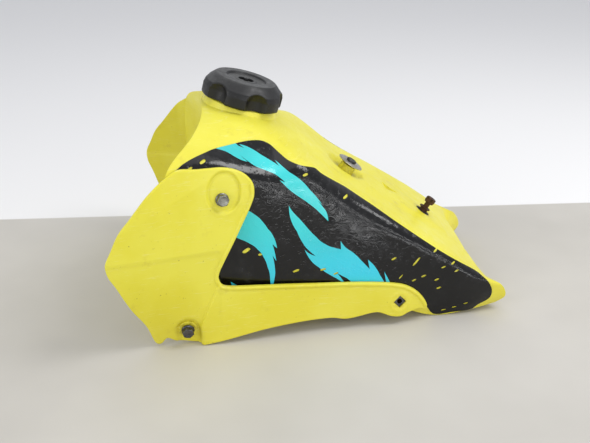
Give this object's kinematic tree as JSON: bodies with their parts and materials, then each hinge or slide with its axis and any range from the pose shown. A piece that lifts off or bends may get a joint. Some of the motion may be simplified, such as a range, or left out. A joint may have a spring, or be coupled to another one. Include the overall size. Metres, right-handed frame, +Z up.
{
  "type": "motorcycle fuel tank",
  "caption": "Saddle-shaped moulded fuel tank with screw cap, side decals, bolted radiator shrouds and a fuel tap underneath.",
  "frame": {"origin": "bottom centre of the whole object's bounding box, on the floor it stands on", "axes": "+X to the rear of the motorcycle, +Y to its right-hand side, +Z up"},
  "size_m": [0.3979, 0.3114, 0.241],
  "materials": {
    "yellow_plastic": "moulded yellow plastic, semi-gloss, lightly scuffed",
    "decal_film": "glossy black vinyl with teal flame shapes and small perforations",
    "zinc_steel": "dull zinc plating",
    "brass_insert": "machined brass",
    "rusty_steel": "brown rusted steel",
    "black_plastic": "black moulded plastic, satin",
    "rubber": "black rubber",
    "cast_alloy": "die-cast alloy",
    "nylon_mesh": "woven nylon"
  },
  "bodies": {
    "root": {"tank": "yellow_plastic", "shroud_right": "yellow_plastic", "shroud_left": "yellow_plastic", "decal_right": "decal_film", "decal_left": "decal_film", "upper_bolt_right": "zinc_steel", "upper_bolt_left": "zinc_steel", "upper_collar_right": "zinc_steel", "upper_collar_left": "zinc_steel", "lower_bolt_right": "zinc_steel", "lower_bolt_left": "zinc_steel", "lower_collar_right": "zinc_steel", "lower_collar_left": "zinc_steel", "lower_nut_right": "zinc_steel", "lower_nut_left": "zinc_steel", "rear_square_nut_right": "zinc_steel", "rear_square_nut_left": "zinc_steel", "seat_hook_washer": "zinc_steel", "seat_hook_bolt": "zinc_steel", "tap_screw_front": "zinc_steel", "tap_screw_rear": "zinc_steel", "upper_insert_right": "brass_insert", "upper_insert_left": "brass_insert", "rear_insert_right": "brass_insert", "rear_insert_left": "brass_insert", "seat_hook_insert": "brass_insert", "tap_insert_front": "brass_insert", "tap_insert_rear": "brass_insert", "seat_hook_spacer": "rusty_steel", "rear_collar": "rusty_steel", "rear_washer": "rusty_steel", "rear_bolt": "rusty_steel", "rear_grommet": "rubber", "tap_seal": "rubber", "tunnel_pad_right": "rubber", "tunnel_pad_left": "rubber", "tap_body": "cast_alloy", "tap_strainer": "nylon_mesh"},
    "cap_gasket": {"cap_gasket": "rubber"},
    "cap": {"cap": "black_plastic", "cap_vent_plug": "black_plastic", "cap_baffle": "black_plastic"},
    "tap_lever": {"tap_lever": "black_plastic"}
  },
  "joints": [
    {"name": "cap_rise", "type": "slide", "parent": "root", "child": "cap_gasket", "axis": [0.2672, 0, 0.9636], "range_m": [0, 0.0241]},
    {"name": "cap_turn", "type": "hinge", "parent": "cap_gasket", "child": "cap", "pos_m": [-0.0742, 0, 0.2096], "axis": [0.2672, 0, 0.9636], "range_deg": [0, 1080]},
    {"name": "tap_turn", "type": "hinge", "parent": "root", "child": "tap_lever", "pos_m": [0.018, -0.078, 0.0126], "axis": [0, 1, 0], "range_deg": [-90, 90]}
  ],
  "couplings": [
    {"joint": "cap_rise", "follows": "cap_turn", "m_per_rad": 0.0012732}
  ]
}
